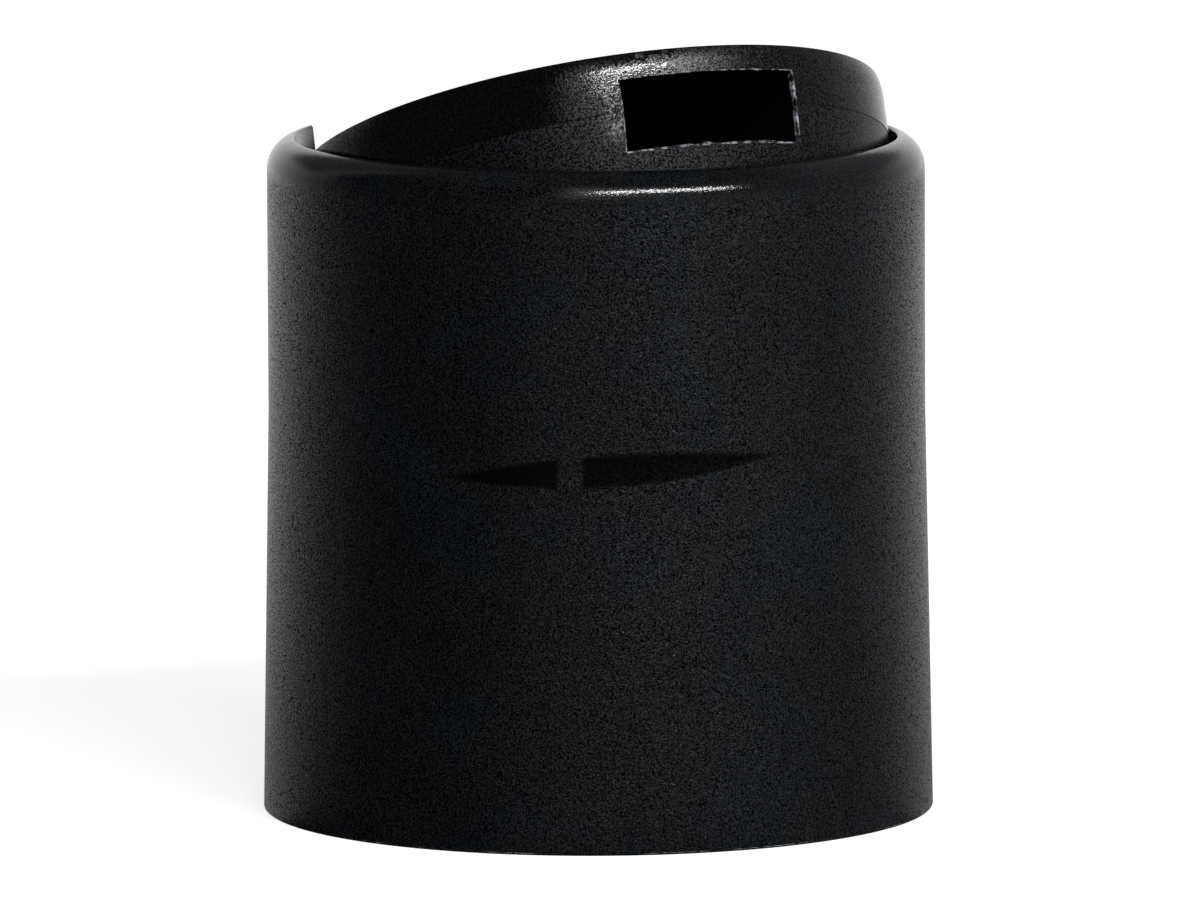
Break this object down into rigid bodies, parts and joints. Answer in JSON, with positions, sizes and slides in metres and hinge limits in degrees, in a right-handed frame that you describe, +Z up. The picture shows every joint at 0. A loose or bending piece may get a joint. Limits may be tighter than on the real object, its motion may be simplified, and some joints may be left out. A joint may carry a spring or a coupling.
{
  "type": "disc top cap",
  "caption": "Smooth-walled screw cap with a tilting disc closure: pressing the disc's rear lifts a slot at its front.",
  "frame": {"origin": "on the cap's axis, in the plane of its base", "axes": "+Z up along the axis of the neck, the dispensing slot faces -Y, the pivot runs along X"},
  "size_m": [0.0278, 0.0278, 0.0327],
  "materials": {
    "body_plastic": "satin",
    "disc_plastic": "gloss"
  },
  "bodies": {
    "cap": {"cap_body": "body_plastic"},
    "disc": {"disc": "disc_plastic"}
  },
  "joints": [
    {"name": "disc_tilt", "type": "hinge", "parent": "cap", "child": "disc", "pos_m": [0, 0.001, 0.0265], "axis": [1, 0, 0], "range_deg": [0, 22]}
  ]
}
